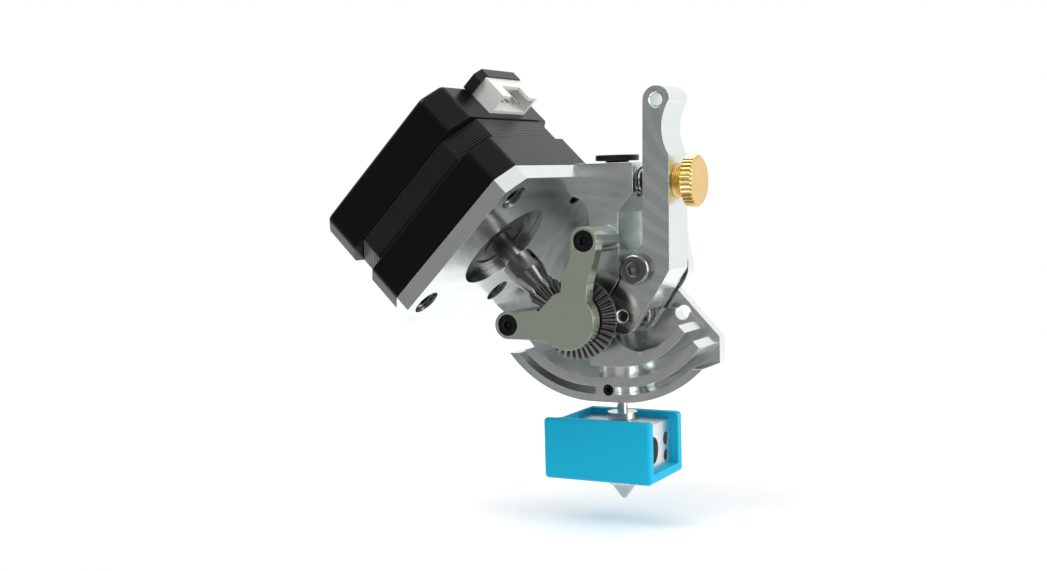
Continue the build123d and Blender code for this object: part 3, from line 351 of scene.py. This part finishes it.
def socket_screw(name, seat, along, head, shank, key, edge, material, ridges=0):
    """Socket head screw with its seat at a point; along points out of the head."""
    head_r, head_h = [size * MM for size in head]
    shank_r, shank_l = [size * MM for size in shank]
    key_width, key_depth = [size * MM for size in key]
    edge = edge * MM
    side = knurled(head_r, 0.07 * MM, ridges) if ridges else head_r
    rings = [
        (-shank_l, shank_r * 0.8),
        (-shank_l + 0.3 * MM, shank_r),
        (0, shank_r),
        (0, head_r - 0.1 * MM),
        (0.1 * MM, side),
        (head_h - edge, side),
        (head_h - edge * 0.35, head_r - edge * 0.5),
        (head_h, head_r - edge),
        (head_h, key_width / 2 * 1.28),
        (head_h - 0.12 * MM, key_width / 2 * 1.17),
        (head_h - 0.12 * MM, hexagon(key_width)),
        (head_h - key_depth, hexagon(key_width)),
        (head_h - key_depth - 0.2 * MM, key_width * 0.1),
    ]
    side_a = along.orthogonal().normalized()
    points, faces = lathe(rings, SCREW_SIDES, Vector(seat) * MM, along, side_a)
    made = make_mesh(name, points, faces, material)
    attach(made, "frame")
    return made


def on_plate(x, y, z):
    """Point in millimetres from motor plate coordinates: up the plate, towards the viewer, out."""
    return APEX / MM - MOTOR_AXIS * APEX_TO_PLATE + MOTOR_UP * x + FRONT * y + MOTOR_AXIS * z


for label, seat in COVER_SCREWS.items():
    cap = socket_screw(f"cover_screw_{label}", seat, FRONT, material=black_oxide, **COVER_SCREW)
    stand_in("cover_screws")
shoulder = socket_screw("lever_shoulder_screw", SHOULDER_SEAT, FRONT, material=plain_screw, **SHOULDER_SCREW)
stand_in("lever_pivot_screw")
for i, (x, y) in enumerate(MOTOR_SCREWS):
    cap = socket_screw(f"motor_mount_screw_{i + 1}", on_plate(x, y, MOUNT_SEAT), MOTOR_AXIS,
                       material=black_oxide, **MOUNT_SCREW)
    stand_in("motor_mount_screws")
    cap = socket_screw(f"motor_case_screw_{i + 1}", on_plate(x, y, CASE_SEAT), -MOTOR_AXIS,
                       material=black_oxide, **CASE_SCREW)
    stand_in("motor_case_screws")

# stack of thin laminations between the motor's two end caps, in millimetres
STACK_HALF = 20.85
STACK_CORNER = 6.6
STACK_BACK, STACK_FRONT = -18.3, -12.2
SHEETS = 11
GROOVE = 0.993                                     # size of the stack in the groove between two sheets
outline = []
for sx, sy in ((1, 1), (-1, 1), (-1, -1), (1, -1)):
    pair = [(sx * STACK_HALF, sy * (STACK_HALF - STACK_CORNER)),
            (sx * (STACK_HALF - STACK_CORNER), sy * STACK_HALF)]
    outline += pair if sx * sy > 0 else pair[::-1]
sheet_t = (STACK_FRONT - STACK_BACK) / SHEETS
levels = []
for i in range(SHEETS):
    sheet_z = STACK_BACK + sheet_t * i
    levels += [(sheet_z, GROOVE), (sheet_z + sheet_t * 0.25, 1.0), (sheet_z + sheet_t * 0.75, 1.0)]
levels.append((STACK_FRONT, GROOVE))
stack_points = [on_plate(x * share, y * share, z) * MM for z, share in levels for x, y in outline]
stack = make_mesh("lamination_stack", stack_points, skin(len(levels), len(outline)), lamination)
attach(stack, "frame")
stand_in("motor_stator")

# coil spring between the pocket and the plunger, made in an inner and an outer stretch
COIL_R = 2.55 * MM
WIRE_R = 0.38 * MM
COIL_TURNS = 4.0
COIL_STEPS = 72
WIRE_SIDES = 10
low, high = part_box("tension_spring")


def coil(name, first, last):
    """One stretch of the wire wound about X, between two shares of the spring's length."""
    points = []
    length = high.x - low.x - 2 * WIRE_R
    for i in range(COIL_STEPS + 1):
        share = first + (last - first) * i / COIL_STEPS
        angle = 2 * pi * COIL_TURNS * share
        ease = share * share * (3 - 2 * share) * 0.5 + share * 0.5
        x = low.x + WIRE_R + length * ease
        for j in range(WIRE_SIDES):
            turn = 2 * pi * j / WIRE_SIDES
            r = COIL_R + WIRE_R * cos(turn)
            points.append((x + WIRE_R * sin(turn), SPRING.y + r * cos(angle), SPRING.z + r * sin(angle)))
    made = make_mesh(name, points, skin(COIL_STEPS + 1, WIRE_SIDES), spring_wire, smooth=True)
    stand_in("tension_spring")
    return made


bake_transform(coil("tension_coil_inner", 0.0, 0.5))
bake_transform(coil("tension_coil_outer", 0.5, 1.0))

# ------------------------------------------------------------------ floor, light and camera
LEFT, RIGHT, NEAR, FAR, LEVEL = -0.18, 0.16, -0.085, 0.25, -0.0465     # edges and height of the floor
floor_data = bpy.data.meshes.new("floor")
floor_data.from_pydata(
    [(LEFT, NEAR, LEVEL), (RIGHT, NEAR, LEVEL), (RIGHT, FAR, LEVEL), (LEFT, FAR, LEVEL)],
    [], [(0, 1, 2, 3)],
)
floor = bpy.data.objects.new("floor", floor_data)
bpy.context.scene.collection.objects.link(floor)
floor_paint = bpy.data.materials.new("pale_floor")
floor_paint.use_nodes = True
floor_shade = floor_paint.node_tree.nodes["Principled BSDF"]
floor_shade.inputs["Base Color"].default_value = (1.0, 1.0, 1.0, 1)
floor_shade.inputs["Roughness"].default_value = 0.9
floor_data.materials.append(floor_paint)


def area_light(name, spot, size, power):
    """Soft rectangular light aimed at the object."""
    lamp = bpy.data.lights.new(name, "AREA")
    lamp.shape = "RECTANGLE"
    lamp.size, lamp.size_y = size
    lamp.energy = power
    holder = bpy.data.objects.new(name, lamp)
    holder.location = spot
    aim = Vector((0, -0.02, 0)) - Vector(spot)
    holder.rotation_euler = aim.to_track_quat("-Z", "Y").to_euler()
    bpy.context.scene.collection.objects.link(holder)


area_light("key", (-0.25, -0.35, 0.55), (0.35, 0.35), 2.0)
area_light("right", (0.6, -0.1, 0.15), (0.3, 0.6), 2.0)
area_light("low_front", (0.15, -0.6, -0.02), (0.5, 0.12), 0.12)

# pale surround that dims towards the front, so that metal faces keep their tone
world = bpy.data.worlds.new("studio")
bpy.context.scene.world = world
world.use_nodes = True
sky = world.node_tree
direction = add_node(sky, "ShaderNodeTexCoord").outputs["Generated"]
split = add_node(sky, "ShaderNodeSeparateXYZ")
sky.links.new(direction, split.inputs[0])


def ramp(source, from_range, to_range):
    """Smooth step of one socket of the sky's direction from one range to another."""
    step = add_node(sky, "ShaderNodeMapRange", interpolation_type="SMOOTHSTEP")
    step.inputs["From Min"].default_value, step.inputs["From Max"].default_value = from_range
    step.inputs["To Min"].default_value, step.inputs["To Max"].default_value = to_range
    sky.links.new(split.outputs[source], step.inputs["Value"])
    return step.outputs[0]


brighter = add_node(sky, "ShaderNodeMath", operation="MAXIMUM")
sky.links.new(ramp("Y", (-0.75, 0.35), (0.25, 1.0)), brighter.inputs[0])
sky.links.new(ramp("Z", (0.25, 0.8), (0.0, 0.9)), brighter.inputs[1])
sky.links.new(brighter.outputs[0], sky.nodes["Background"].inputs["Strength"])
sky.nodes["Background"].inputs["Color"].default_value = (1, 1, 1, 1)
bpy.context.scene.view_settings.view_transform = "Standard"

# camera at the angle of the reference view
AZIMUTH, ELEVATION, ROLL = radians(28.17), radians(4.4), radians(-1.52)
CAMERA_TARGET = Vector((-15.12, -25.0, 7.33)) * MM
CAMERA_DISTANCE = 0.3045
toward = Vector((sin(AZIMUTH) * cos(ELEVATION), -cos(AZIMUTH) * cos(ELEVATION), sin(ELEVATION)))
right = Vector((cos(AZIMUTH), sin(AZIMUTH), 0))
up = toward.cross(right)
rolled_right = right * cos(ROLL) + up * sin(ROLL)
rolled_up = up * cos(ROLL) - right * sin(ROLL)
camera_data = bpy.data.cameras.new("camera")
camera_data.sensor_width = 36.0
camera_data.lens = 48.03
camera_data.clip_start = 0.01
camera = bpy.data.objects.new("camera", camera_data)
turn = Matrix((rolled_right, rolled_up, toward)).transposed().to_4x4()
camera.matrix_world = Matrix.Translation(CAMERA_TARGET + toward * CAMERA_DISTANCE) @ turn
bpy.context.scene.collection.objects.link(camera)
bpy.context.scene.camera = camera
